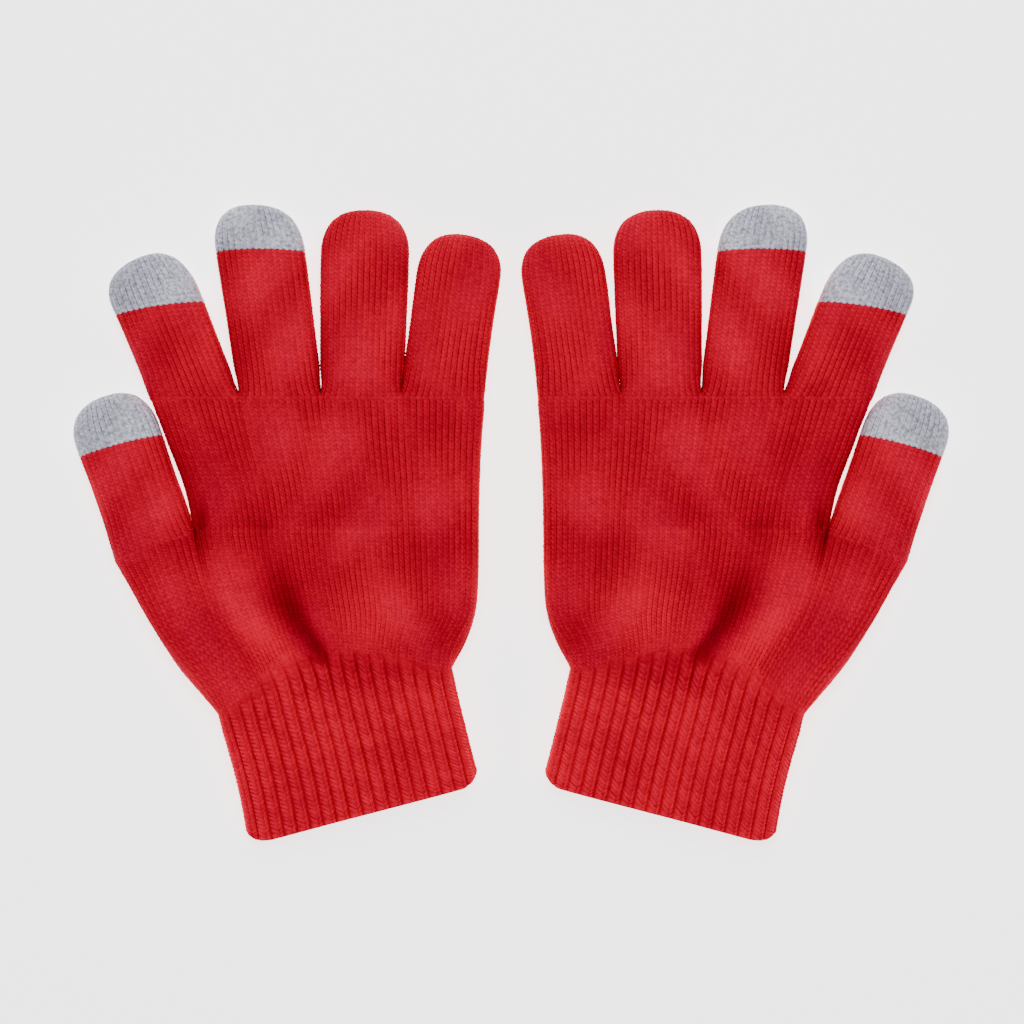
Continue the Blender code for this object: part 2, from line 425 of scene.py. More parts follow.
class Shell:
    """Cuff and lower palm: the height runs from 0 at the cuff's foot, 1 at the wrist, to 2."""

    def __init__(self):
        corner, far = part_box("right_lower_palm")
        self.corner = np.array(corner[:2])
        self.crotch_y = far.y
        low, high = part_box("right_ribbed_cuff")
        middle = (low + high) / 2
        self.cuff_top = np.array((middle.x, middle.y)) + np.array(CUFF_TOP) * MM
        self.arch = settings().arch
        self.hollow = settings().hollow
        self.thumb = Finger("thumb", FINGER_WALES)
        self.inner = self.corner + np.array(LITTLE_EDGE) * MM
        self.outer = self.corner + np.array(THUMB_EDGE) * MM
        self.outer[-1] = self.thumb(np.array(16.0), np.array(0.0))[:2]
        self.crotch = self.thumb(np.array(0.0), np.array(0.0))[:2]
        self.down = np.array((-math.sin(CUFF_LEAN), -math.cos(CUFF_LEAN)))
        self.side = np.array((math.cos(CUFF_LEAN), -math.sin(CUFF_LEAN)))

    def top_line(self, s):
        """The line that joins the palm to the upper palm and the thumb."""
        share = s[..., None]
        palm = self.inner[-1] + (self.crotch - self.inner[-1]) * share / THUMB_SHARE
        out = (share - THUMB_SHARE) / (1 - THUMB_SHARE)
        thumb = self.crotch + (self.outer[-1] - self.crotch) * out
        return np.where(share < THUMB_SHARE, palm, thumb)

    def palm(self, s, rise):
        """Points of the lower palm, for rise from 0 at the wrist to 1."""
        left = through(self.inner, rise)
        right = through(self.outer, rise)
        share = s[..., None]
        up = rise[..., None]
        wrist = self.inner[0] + (self.outer[0] - self.inner[0]) * share
        top = self.top_line(s)
        sides = left + (right - left) * share
        ends = wrist + (top - wrist) * up
        high = self.inner[-1] + (self.outer[-1] - self.inner[-1]) * share
        patch = sides + ends - (wrist + (high - wrist) * up)
        straight = wrist - self.down * PALM_RISE * up
        ease = (1 - smoothstep(rise / 0.5)) * pillow(2 * s - 1, 3.0)
        return patch + (straight - patch) * ease[..., None]

    def cuff(self, s, height):
        """Points of the cuff, for height from 0 at its foot to 1 at the wrist."""
        u = 2 * s - 1
        corner = 1 - np.sqrt(1 - np.clip((np.abs(u) - 0.84) / 0.16, 0, 1) ** 2)
        waist = 1 - 0.012 * np.sin(math.pi * np.clip(height, 0, 1))
        round_off = 5.5 * MM * corner * (1 - np.clip(height, 0, 1)) ** 6
        fall = CUFF_LENGTH * (1 - height) - round_off
        slant = 0.045 * CUFF_HALF * u * (1 - height)
        foot = self.cuff_top + self.down * (fall + slant)[..., None]
        foot = foot + self.side * (u * CUFF_HALF * waist)[..., None]
        wrist = self.inner[0] + (self.outer[0] - self.inner[0]) * s[..., None]
        top = self.cuff_top + self.side * (u * CUFF_HALF)[..., None]
        return foot + (wrist - top) * (smoothstep(height) ** 2)[..., None]

    def thickness(self, s, height):
        """Thickness of the empty shell."""
        stations = (-0.2, 0.0, 0.6, 1.0, 1.25, 1.55, 1.75, 2.0)
        little = np.interp(height, stations, (15, 15, 14.6, 16, 19.2, 21.4, 21.2, 20)) * MM
        thumb = np.interp(height, stations, (15, 15, 14.6, 16, 19.4, 20.0, 18.4, 18)) * MM
        return little + (thumb - little) * s

    def bulges(self, xy):
        """Soft hollows and swellings of the palm side."""
        x = (xy[..., 0] - self.corner[0]) / MM
        y = (xy[..., 1] - self.crotch_y) / MM
        along = np.clip((-18.0 - y) / 24.0, 0, 1)
        ball = np.exp(-(((x - 87.5 + 19.2 * along) / 8.0) ** 2) - ((y + 34.0) / 17.0) ** 2)
        heel = np.exp(-(((x - 36.0) / 14.0) ** 2) - ((y + 28.0) / 15.0) ** 2)
        return 1.8 * MM * ball + 1.2 * MM * heel - self.hollow * palm_hollow(xy)

    def worn(self, points):
        """Random patches, painted highlights on the ball of the thumb and the heel, painted shade
        in the hollow, and lighter towards the cuff, from -1 to 1.
        """
        x = (points[..., 0] - self.corner[0]) / MM
        y = (points[..., 1] - self.crotch_y) / MM
        soft = 0.2 * np.sin(x / 9.0 + y / 17.0) * np.sin(y / 8.0 - x / 21.0)
        # Painted shade in the hollow beside the ball of the thumb.
        painted_shade = palm_hollow(points)
        # Painted highlights on the ball of the thumb and the heel, less the painted shade of the
        # hollow.
        painted_light_and_shade = (self.bulges(points) + self.hollow * painted_shade) / (1.9 * MM) - 1.15 * painted_shade
        cuff = 0.5 * smoothstep((-42.0 - y) / 16.0)
        return np.clip(painted_light_and_shade * palm_side(points) + soft + cuff, -1, 1)

    def surface(self, s, face, height, depth):
        """Points for a share across, a face and a height."""
        rise = np.clip(height - 1, 0, 1)
        xy = np.where((height > 1)[..., None], self.palm(s, rise), self.cuff(s, height))
        u = 2 * s - 1
        thick = self.thickness(s, height)
        shape = pillow(u, PALM_POWER)
        split = smoothstep((height - 1.62) / 0.38)
        palm_u = np.clip(2 * s / THUMB_SHARE - 1, -1, 1)
        thumb_u = np.clip(2 * (s - THUMB_SHARE) / (1 - THUMB_SHARE) - 1, -1, 1)
        in_palm = s < THUMB_SHARE
        palm_shape = pillow(palm_u, PALM_POWER)
        halves = np.where(in_palm, palm_shape, pillow(thumb_u, THUMB_ROOT_POWER))
        tall = np.where(in_palm, thick + 0.5 * MM * s, self.thumb.thick)
        thick = thick + (tall - thick) * split
        shape = shape + (halves - shape) * split
        middle = LOWER_SHARE * thick
        rise = np.where(face > 0, thick - middle, middle) - depth
        z = middle + face * rise * shape
        z = z + np.where(face > 0, self.bulges(xy), 0.0) * shape
        xy = xy - (u * depth)[..., None] * np.array((1.0, 0.0))
        return np.concatenate((xy, z[..., None]), -1)

    def arch_at(self, s):
        """Height at which the ribs end and the palm begins."""
        return 1 + self.arch / PALM_RISE * (1 - (2 * s - 1) ** 2) ** 1.6


class LowerPalm:
    """The palm between the ribs and the crotch of the thumb."""

    def __init__(self, shell, wales):
        self.shell = shell
        self.wales = wales
        self.courses = 34
        self.cap = NO_CAP
        self.table = even_shares(wales, 56 * MM, 5.5 * MM, PALM_POWER)
        self.worn = shell.worn

    def __call__(self, q, v, depth=0.0):
        place, face = unfold(q, self.wales)
        s = (np.interp(place, *self.table) + 1) / 2
        start = self.shell.arch_at(s)
        height = start + (2 - start) * v / self.courses
        points = self.shell.surface(s, face, height, depth)
        beyond = np.maximum(v - self.courses, 0)[..., None] * settings().course
        on_thumb = smoothstep((s - THUMB_SHARE) / 0.03)[..., None]
        ahead = np.array((0.0, 1.0, 0.0)) + on_thumb * np.array((0.33, -0.06, 0.0))
        return points + beyond * ahead


class Cuff:
    """The ribbed cuff, from its foot up to the arch where the palm begins."""

    def __init__(self, shell, ribs):
        self.shell = shell
        self.wales = ribs
        self.courses = round((CUFF_LENGTH + 0.6 * shell.arch) / settings().cuff_course)
        self.table = even_shares(ribs, 40 * MM, 4.0 * MM, PALM_POWER)
        self.worn = shell.worn

    def __call__(self, q, v, depth=0.0):
        place, face = unfold(q, self.wales)
        s = (np.interp(place, *self.table) + 1) / 2
        height = self.shell.arch_at(s) * v / self.courses
        return self.shell.surface(s, face, height, depth)


class UpperPalm:
    """The palm between the crotch of the thumb and the knuckles."""

    def __init__(self, wales, fingers):
        self.wales = wales
        corner = np.array(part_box("right_upper_palm")[0][:2])
        self.corner = corner
        self.inner = corner + np.array(UPPER_INNER) * MM
        self.outer = corner + np.array(UPPER_OUTER) * MM
        self.fingers = fingers
        self.tall = self.inner[-1][1] - self.inner[0][1]
        self.courses = round(self.tall / settings().course)
        self.cap = NO_CAP
        self.table = even_shares(wales, 57 * MM, 5.0 * MM, 3.4)

    def __call__(self, q, v, depth=0.0):
        place, face = unfold(q, self.wales)
        s = (np.interp(place, *self.table) + 1) / 2
        rise = v / self.courses
        left = through(self.inner, np.clip(rise, 0, 1))
        right = through(self.outer, np.clip(rise, 0, 1))
        xy = left + (right - left) * s[..., None]
        xy[..., 1] = self.inner[0][1] + rise * self.tall
        u = 2 * s - 1
        stations = (0, 0.33, 0.66, 1)
        little = np.interp(rise, stations, (20, 18.5, 16.5, 14)) * MM
        index = np.interp(rise, stations, (18, 17, 15.5, 14)) * MM
        thick = little + (index - little) * s
        power = PALM_POWER + 1.4 * smoothstep(rise)
        shape = pillow(u, power)
        roots = np.zeros_like(s)
        for finger in self.fingers:
            half = finger.base / math.cos(finger.skew(0.0) - finger.lean)
            local = np.clip((xy[..., 0] - finger.root[0]) / half, -1, 1)
            roots = np.maximum(roots, pillow(local, ROOT_POWER))
        shape = shape + (roots - shape) * smoothstep((rise - 0.72) / 0.28)
        middle = LOWER_SHARE * thick
        tall = np.where(face > 0, thick - middle, middle) - depth
        z = middle + face * tall * shape
        z = z + np.where(face > 0, self.creases(xy), 0.0) * shape
        xy = xy - (u * depth)[..., None] * np.array((1.0, 0.0))
        return np.concatenate((xy, z[..., None]), -1)

    def worn(self, points):
        """Painted light and shade from the soft folds under the fingers, and painted shade in the
        hollow, on the palm side, from -1 to 1.
        """
        # Painted highlight on the folds' ridges and painted shade in their valleys and in the
        # hollow.
        folds = 0.5 * self.creases(points) / MM - 1.15 * palm_hollow(points)
        return folds * palm_side(points)

    def creases(self, xy):
        """Soft folds under the fingers."""
        x = (xy[..., 0] - self.corner[0]) / MM
        y = (xy[..., 1] - self.corner[1]) / MM
        wave = np.sin(x / 13.0 + 0.6) * np.sin(y / 11.0 + x / 31.0)
        fade = smoothstep(y / 8.0) * smoothstep((45.0 - y) / 12.0)
        return 0.5 * MM * wave * fade - settings().hollow * palm_hollow(xy)


# ---------------------------------------------------------------- stitches


def stitch_columns(wales, side, share):
    """Ring positions of the mesh's columns, three to each leg of every stitch."""
    steps = (0.0, 0.24, 0.74)
    left = [share * f for f in steps]
    right = [share + (1 - share) * f for f in steps]
    cell = np.array(left + right)
    if side < 0:
        cell = np.sort(np.mod(1 - cell, 1.0))
    whole = np.arange(2 * wales)[:, None] + cell[None, :]
    return np.append(whole.ravel(), 2.0 * wales)


def leg_height(place, share):
    """Height from 0 to 1 across a stitch of two rounded legs."""
    first = place < share
    local = np.where(first, place / share, (place - share) / (1 - share))
    bead = pillow(2 * local - 1, 2.0)
    tall = np.where(first, 1.0, 0.8)
    towards_middle = np.where(first, local, 1 - local)
    return np.clip(bead * tall, 0.5 * smoothstep(2 * towards_middle - 1), 1)


def leg_shift(place, share, slant):
    """How far the courses rise away from the middle of the stitch."""
    first = place < share
    return slant * np.where(first, 1 - place / share, (place - share) / (1 - share))


def course_rows(first, last):
    """Heights in courses of the mesh's rows, three to a course, from first to last."""
    steps = np.array((0.0, 0.28, 0.68))
    whole = np.arange(math.floor(first), math.ceil(last))[:, None] + steps[None, :]
    rows = whole.ravel()
    between = rows[(rows > first + 0.05) & (rows < last - 0.05)]
    return np.concatenate(([first], between, [last]))


def bead_height(rows):
    """Height from 0 to 1 along a stitch's leg."""
    part = rows - np.floor(rows)
    return np.clip(pillow(2 * part - 1, 2.2), 0, 1)


def hashed(i, j, seed):
    """Repeatable random numbers from -1 to 1 for whole numbers i and j."""
    wild = np.sin(i * 127.1 + j * 311.7 + seed * 74.7) * 43758.5453
    return 2 * (wild - np.floor(wild)) - 1


def normals(shape, q, v):
    """Outward unit normals of a shape."""
    e = 0.03
    across = shape(q + e, v) - shape(q - e, v)
    along = shape(q, v + e) - shape(q, v - e)
    n = np.cross(across, along)
    return n / np.maximum(np.linalg.norm(n, axis=-1, keepdims=True), 1e-12)


def streaks(i, v, seed):
    """Smooth unevenness from -1 to 1 that runs along each wale."""
    place = v / 9.0 + 0.5 * hashed(i, np.zeros_like(i), seed + 11)
    low = np.floor(place)
    a = hashed(i, low, seed + 5)
    b = hashed(i, low + 1, seed + 5)
    return a + (b - a) * smoothstep(place - low)


def patches(points):
    """How open the stitches are, from 0 where the knit is felted to 1 where it is crisp."""
    x, y = points[..., 0] / MM, points[..., 1] / MM
    wave = np.sin(x / 6.1 + 1.3 * np.sin(y / 13.0)) * np.sin(y / 8.7 + 1.7 * np.sin(x / 11.0))
    return smoothstep(0.55 + 0.6 * wave)


def stitched(shape, side, first, last, seed):
    """Ring positions, heights in courses, relief, groove and tone of the outer stitches."""
    s = settings()
    q = stitch_columns(shape.wales, side, s.leg_share)
    rows = course_rows(first, last)
    place = q - np.floor(q)
    if side < 0:
        place = np.mod(1 - place, 1.0)
    grid_q, grid_v = np.meshgrid(q, rows)
    place = np.broadcast_to(place, grid_q.shape)
    legs = leg_height(place, s.leg_share)
    beads = bead_height(grid_v)
    uneven = hashed(np.floor(grid_q), np.floor(grid_v), seed)
    streak = streaks(np.floor(grid_q), grid_v, seed)
    crisp = patches(shape(grid_q, grid_v))
    groove = 1 - (1 - legs) * (0.35 + 0.65 * crisp)
    notch = 1 - (1 - beads) * (0.45 + 0.3 * crisp)
    height = (0.1 + 0.9 * groove) * notch * (1 + 0.14 * uneven) * (1 + 0.22 * streak)
    shift = leg_shift(place, s.leg_share, s.slant) - s.slant / 2
    edge = np.exp(-(((grid_v - shape.cap) / 1.5) ** 2))
    v = grid_v + shift * (1 - 0.6 * edge)
    tone = np.clip(0.55 * uneven + 0.6 * streak, -1, 1)
    # The fourth value sets the painted groove shade: low down in the grooves and notches, high on
    # the proud legs.
    return grid_q, v, height * s.relief, groove * (0.4 + 0.6 * notch), tone


def set_in(height, v, first, last, tuck):
    """Sinks the tucked courses at either end under the neighbouring piece."""
    low = smoothstep((first + tuck[0] - 0.35 - v) / 0.35) if tuck[0] else 0.0
    high = smoothstep((v - (last - tuck[1]) - 0.35) / 0.35) if tuck[1] else 0.0
    sunk = np.maximum(low, high)
    return height * (1 - sunk) - 0.12 * MM * sunk


def mesh_object(name, points, relief, tone, worn, side, material):
    """A closed mesh from a grid of points, rows by columns."""
    rows, columns = points.shape[:2]
    bm = bmesh.new()
    bm.loops.layers.uv.new("knit")
    bmesh.ops.create_grid(
        bm, x_segments=columns - 1, y_segments=rows - 1, size=0.5, calc_uvs=True
    )
    mesh = bpy.data.meshes.new(name)
    bm.to_mesh(mesh)
    bm.free()
    flat = np.zeros(len(mesh.vertices) * 3)
    mesh.vertices.foreach_get("co", flat)
    grid = flat.reshape(-1, 3)
    column = np.rint((grid[:, 0] + 0.5) * (columns - 1)).astype(int)
    row = np.rint((grid[:, 1] + 0.5) * (rows - 1)).astype(int)
    placed = points[row, column].copy()
    placed[:, 0] *= side
    mesh.vertices.foreach_set("co", placed.ravel())
    # The attributes carry the painted groove shade, random tone, and random patches with painted
    # light and shade.
    for label, values in (("relief", relief), ("tone", tone), ("worn", worn)):
        layer = mesh.attributes.new(label, "FLOAT", "POINT")
        layer.data.foreach_set("value", values[row, column].astype(np.float32))
    weld(mesh)
    mesh.shade_smooth()
    mesh.set_sharp_from_angle(angle=math.radians(78))
    mesh.materials.append(material)
    obj = bpy.data.objects.new(name, mesh)
    bpy.context.scene.collection.objects.link(obj)
    return obj


def weld(mesh):
    """Joins the grid's seams and turns the faces outwards."""
    bm = bmesh.new()
    bm.from_mesh(mesh)
    bmesh.ops.remove_doubles(bm, verts=bm.verts, dist=2e-6)
    bmesh.ops.dissolve_degenerate(bm, edges=bm.edges, dist=1e-7)
    bmesh.ops.recalc_face_normals(bm, faces=bm.faces)
    if bm.calc_volume(signed=True) < 0:
        bmesh.ops.reverse_faces(bm, faces=bm.faces)
    bm.to_mesh(mesh)
    bm.free()


def knit_tube(name, shape, side, span, material, tuck=(0, 0), sealed=False, seed=0):
    """A closed tube of knit between two courses: outer stitches, rims and a plain inside."""
    s = settings()
    first, last = span
    q, v, height, high, uneven = stitched(shape, side, first, last, seed)
    if sealed:
        fade = smoothstep((last - v) / 0.9)
        height = height * fade
        v = np.minimum(v, last)
        v[-1] = last
    height = set_in(height, v, first, last, tuck)
    outer = shape(q, v) + normals(shape, q, v) * height[..., None]
    if sealed:
        outer[-1] = shape(q[-1], v[-1])
    inner_rows = np.linspace(last, first, max(4, int((last - first) / 2)))
    inner_q, inner_v = np.meshgrid(q[0], inner_rows)
    inner = shape(inner_q, inner_v, s.wall)
    # The inside takes relief 0, the painted groove shade colour.
    low = np.zeros(inner.shape[:2])
    # Random patches plus painted shade and highlights, per outer point.
    patch_and_light_values = shape.worn(outer)
    if sealed:
        layers = [inner, outer], [low, high], [low, uneven], [low, patch_and_light_values]
    else:
        layers = [
            (outer, inner, outer[:1]),
            (high, low, high[:1]),
            (uneven, low, uneven[:1]),
            (patch_and_light_values, low, patch_and_light_values[:1]),
        ]
    points, *marks = (np.concatenate(layer) for layer in layers)
    return mesh_object(name, points, *marks, side, material)


# ---------------------------------------------------------------- materials


def node(tree, kind, **inputs):
    """A new shader node with its input values set."""
    n = tree.nodes.new(kind)
    for label, value in inputs.items():
        n.inputs[label.replace("_", " ")].default_value = value
    return n


def link(tree, a, out, b, into):
    """Joins one node's output to another's input."""
    tree.links.new(a.outputs[out], b.inputs[into])


def ramp(tree, stops):
    """A colour ramp through (position, linear colour) stops."""
    n = tree.nodes.new("ShaderNodeValToRGB")
    elements = n.color_ramp.elements
    while len(elements) < len(stops):
        elements.new(0.5)
    for element, (position, rgb) in zip(elements, stops):
        element.position = position
        element.color = (*rgb, 1.0)
    return n


def mix(tree, kind, factor):
    """A colour mix node."""
    n = tree.nodes.new("ShaderNodeMix")
    n.data_type = "RGBA"
    n.blend_type = kind
    n.inputs["Factor"].default_value = factor
    return n


def attribute(tree, name):
    """A node that reads one of the mesh's own attributes."""
    n = tree.nodes.new("ShaderNodeAttribute")
    n.attribute_name = name
    return n


def scaled(tree, source, out, low, high, start=0.0):
    """A node that maps a value from start..1 to low..high."""
    n = tree.nodes.new("ShaderNodeMapRange")
    n.inputs["From Min"].default_value = start
    n.inputs["To Min"].default_value = low
    n.inputs["To Max"].default_value = high
    link(tree, source, out, n, "Value")
    return n


def yarn_material(name, painted_shade, main, light, fleck):
    """Matt spun yarn: painted shade in the grooves and a painted highlight on the proud stitches,
    uneven from stitch to stitch, painted light and shade over swellings and hollows, and fibrous.
    """
    found = bpy.data.materials.get(name)
    if found:
        return found
    material = bpy.data.materials.new(name)
    material.use_nodes = True
    tree = material.node_tree
    shader = tree.nodes["Principled BSDF"]
    shader.inputs["Base Color"].default_value = (*main, 1.0)
    shader.inputs["Roughness"].default_value = 0.82
    shader.inputs["Specular IOR Level"].default_value = 0.04
    shader.inputs["Sheen Weight"].default_value = 0.01
    shader.inputs["Sheen Roughness"].default_value = 0.45
    shader.inputs["Sheen Tint"].default_value = (*light, 1.0)
    where = tree.nodes.new("ShaderNodeTexCoord")
    # Painted shade in the grooves and painted highlight on the proud stitches, from the relief
    # attribute.
    grooves = ramp(tree, ((0.0, painted_shade), (0.45, main), (0.7, main), (1.0, light)))
    link(tree, attribute(tree, "relief"), "Fac", grooves, "Fac")
    cloud = node(tree, "ShaderNodeTexNoise", Scale=900.0, Detail=3.0)
    link(tree, where, "Object", cloud, "Vector")
    flecks = ramp(tree, ((0.30, fleck), (0.62, (1.0, 1.0, 1.0))))
    link(tree, cloud, "Fac", flecks, "Fac")
    speckled = mix(tree, "MULTIPLY", 1.0)
    link(tree, grooves, "Color", speckled, 6)
    link(tree, flecks, "Color", speckled, 7)
    tone = scaled(tree, attribute(tree, "tone"), "Fac", 0.86, 1.06, start=-1.0)
    toned = mix(tree, "MULTIPLY", 1.0)
    link(tree, speckled, 2, toned, 6)
    link(tree, tone, "Result", toned, 7)
    # Painted light and shade: random patches, painted shade in hollows and creases and painted
    # highlights on swellings scale the colour from 0.4 to 1.7.
    patch_and_light_scale = scaled(tree, attribute(tree, "worn"), "Fac", 0.4, 1.7, start=-1.0)
    patched_and_lit = mix(tree, "MULTIPLY", 1.0)
    patched_and_lit.clamp_result = True
    link(tree, toned, 2, patched_and_lit, 6)
    link(tree, patch_and_light_scale, "Result", patched_and_lit, 7)
    link(tree, patched_and_lit, 2, shader, "Base Color")
    fibre = node(tree, "ShaderNodeTexNoise", Scale=3200.0, Detail=4.0, Roughness=0.65)
    link(tree, where, "Object", fibre, "Vector")
    rough = scaled(tree, fibre, "Fac", 0.68, 0.95)
    link(tree, rough, "Result", shader, "Roughness")
    bump = node(tree, "ShaderNodeBump", Strength=0.5, Distance=0.00018)
    link(tree, fibre, "Fac", bump, "Height")
    link(tree, bump, "Normal", shader, "Normal")
    return material


def red_yarn():
    """The red yarn's material."""
    s = settings()
    fleck = (0.80, 0.62, 0.66)
    return yarn_material("knitted_red_yarn", s.yarn_groove_shade, s.yarn, s.yarn_highlight, fleck)


def grey_yarn():
    """The conductive yarn's material."""
    s = settings()
    fleck = (0.42, 0.42, 0.46)
    return yarn_material("knitted_conductive_yarn", s.grey_groove_shade, s.grey, s.grey_highlight, fleck)


def plain_material(name, rgb, roughness, bumps):
    """A matt material with a fine uneven surface."""
    material = bpy.data.materials.new(name)
    material.use_nodes = True
    tree = material.node_tree
    shader = tree.nodes["Principled BSDF"]
    shader.inputs["Base Color"].default_value = (*rgb, 1.0)
    shader.inputs["Roughness"].default_value = roughness
    where = tree.nodes.new("ShaderNodeTexCoord")
    noise = node(tree, "ShaderNodeTexNoise", Scale=bumps, Detail=3.0)
    link(tree, where, "Object", noise, "Vector")
    bump = node(tree, "ShaderNodeBump", Strength=0.2, Distance=0.0001)
    link(tree, noise, "Fac", bump, "Height")
    link(tree, bump, "Normal", shader, "Normal")
    return material


# ---------------------------------------------------------------- pieces


def make_digit(side_name, digit):
    """The pieces of one finger or thumb on one glove."""
    side = SIDES[side_name]
    finger = Finger(digit, FINGER_WALES)
    label = f"{side_name}_{digit}"
    cap = finger.cap
    kinds = ("base", "tip") if digit == "thumb" else ("base", "mid", "tip")
    hinges = finger.hinges()
    cuts = [math.floor((a + b) / 2) + 0.48 for a, b in zip(hinges, hinges[1:])]
    cuts = [0, *cuts, cap]
    seed = DIGITS.index(digit) * 7 + (side > 0)
    for i, (kind, hinge) in enumerate(zip(kinds, hinges)):
        piece = knit_piece(label, kind, finger, side, cuts[i : i + 2], seed)
        above = BEND_ROOM if kind == "tip" else cuts[i + 1] - hinge - BEND_MARGIN
        room = min(BEND_ROOM, hinge - cuts[i] - BEND_MARGIN, above)
        zone = (hinge - room, hinge + room) if i else (0.5, cuts[1] - BEND_MARGIN)
        bend(piece, finger, zone)
    if cap < finger.courses:
        tip = knit_tube(
            f"{label}_conductive_tip_knit",
            finger,
            side,
            (cap, finger.courses),
            grey_yarn(),
            sealed=True,
            seed=seed,
        )
        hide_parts(f"{label}_conductive_tip")
        bend(tip, finger, zone)


def knit_piece(label, kind, finger, side, span, seed):
    """One red piece of a digit."""
    sealed = span[1] == finger.courses
    piece = knit_tube(
        f"{label}_{kind}_knit", finger, side, span, red_yarn(), sealed=sealed, seed=seed
    )
    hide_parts(f"{label}_{kind}")
    return piece


def bend(piece, finger, zone):
    """Bakes a piece's transform into its mesh; the line square to its courses between two heights
    is worked out but not used.
    """
    start, end = (finger.point(courses) for courses in zone)
    angle = finger.skew(sum(zone) / 2 * finger.course)
    along = Vector((math.sin(angle), math.cos(angle), 0.0))
    end = start + along * (end - start).dot(along)
    start.z = end.z = 0.0
    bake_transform(piece)


class GLOVES_OT_digits(bpy.types.Operator):
    """Build the fingers, thumbs and conductive tips"""

    bl_idname = "gloves.digits"
    bl_label = "Fingers and thumbs"

    def execute(self, context):
        for side_name in SIDES:
            for digit in DIGITS:
                make_digit(side_name, digit)
        return {"FINISHED"}


class GLOVES_OT_palms(bpy.types.Operator):
    """Build the upper and lower palms"""

    bl_idname = "gloves.palms"
    bl_label = "Palms"

    def execute(self, context):
        fingers = [Finger(digit, FINGER_WALES) for digit in FINGERS]
        for side_name, side in SIDES.items():
            upper = UpperPalm(UPPER_WALES, fingers)
            lower = LowerPalm(Shell(), LOWER_WALES)
            pair = (("upper_palm", upper, (0, TUCK)), ("lower_palm", lower, (TUCK, TUCK)))
            for label, shape, tuck in pair:
                span = (-tuck[0], shape.courses + tuck[1])
                piece = knit_tube(
                    f"{side_name}_{label}_knit",
                    shape,
                    side,
                    span,
                    red_yarn(),
                    tuck=tuck,
                    seed=len(label) + 41 * (side > 0),
                )
                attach(piece, f"{side_name}_palm")
                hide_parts(f"{side_name}_{label}")
        return {"FINISHED"}


def rib_profile(place):
    """Height from 0 to 1 across one rib and its groove."""
    return smoothstep(place / 0.13) * smoothstep((0.98 - place) / 0.12)


def rib_tube(name, cuff, side, span, material, seed):
    """A closed ribbed tube: a wide slanted leg and a narrow one on each rib."""
    s = settings()
    wide_end = 0.68
    cell = np.array((0.0, 0.06, 0.15, 0.38, 0.60, wide_end, 0.76, 0.86, 0.95))
    if side < 0:
        cell = np.sort(np.mod(1 - cell, 1.0))
    q = np.append((np.arange(2 * cuff.wales)[:, None] + cell[None, :]).ravel(), 2.0 * cuff.wales)
    place = q - np.floor(q)
    if side < 0:
        place = np.mod(1 - place, 1.0)
    rows = course_rows(*span)
    grid_q, grid_v = np.meshgrid(q, rows)
    place = np.broadcast_to(place, grid_q.shape)
    wide = np.clip((place - 0.07) / 0.61, 0, 1)
    thin = np.clip((place - wide_end) / 0.26, 0, 1)
    on_wide = place < wide_end
    legs = np.where(on_wide, pillow(2 * wide - 1, 2.6), pillow(2 * thin - 1, 2.0))
    uneven = hashed(np.floor(grid_q), np.floor(grid_v), seed)
    beads = bead_height(grid_v)
    rise = smoothstep((cuff.courses - grid_v) / 5.0)
    notch = 1 - (1 - beads) * (0.35 + 0.4 * rise)
    bumps = (0.2 + 0.8 * legs) * notch * (1 + 0.16 * uneven)
    streak = streaks(np.floor(grid_q + 0.5), grid_v, seed)
    ribs = rib_profile(place)
    shift = np.where(on_wide, 1.5 * (1 - wide), thin) - 0.6
    v = grid_v + shift * smoothstep(grid_v / 1.6) * (0.6 + 0.4 * rise)
    gap = (1 - ribs) * s.rib_depth * rise * (1 + 0.4 * streak)
    height = ribs * bumps * s.relief * (0.9 + 0.5 * rise) - gap
    outer = cuff(grid_q, v) + normals(cuff, grid_q, v) * height[..., None]
    inner_q, inner_v = np.meshgrid(q, np.linspace(span[1], span[0], 16))
    ridges = np.broadcast_to(ribs[0], inner_q.shape)
    inner = cuff(inner_q, inner_v, s.wall + 0.6 * MM)
    inner = inner + normals(cuff, inner_q, inner_v) * ((ridges - 1) * 0.5 * MM)[..., None]
    low = np.zeros(inner.shape[:2])
    points = np.concatenate((outer, inner, outer[:1]))
    # Painted highlight on the ribs' legs; the grooves between ribs take the painted groove shade
    # colour.
    painted_leg_highlight = (0.36 + 0.26 * rise) * legs * (0.1 + 0.9 * notch)
    high = 0.22 + 0.12 * (1 - rise) + ribs * (0.1 + painted_leg_highlight)
    relief = np.concatenate((high, low + 0.3, high[:1]))
    tone = np.concatenate((uneven, low, uneven[:1]))
    # Random patches plus painted shade and highlights, per outer point.
    patch_and_light_values = cuff.worn(outer)
    worn = np.concatenate((patch_and_light_values, low, patch_and_light_values[:1]))
    return mesh_object(name, points, relief, tone, worn, side, material)


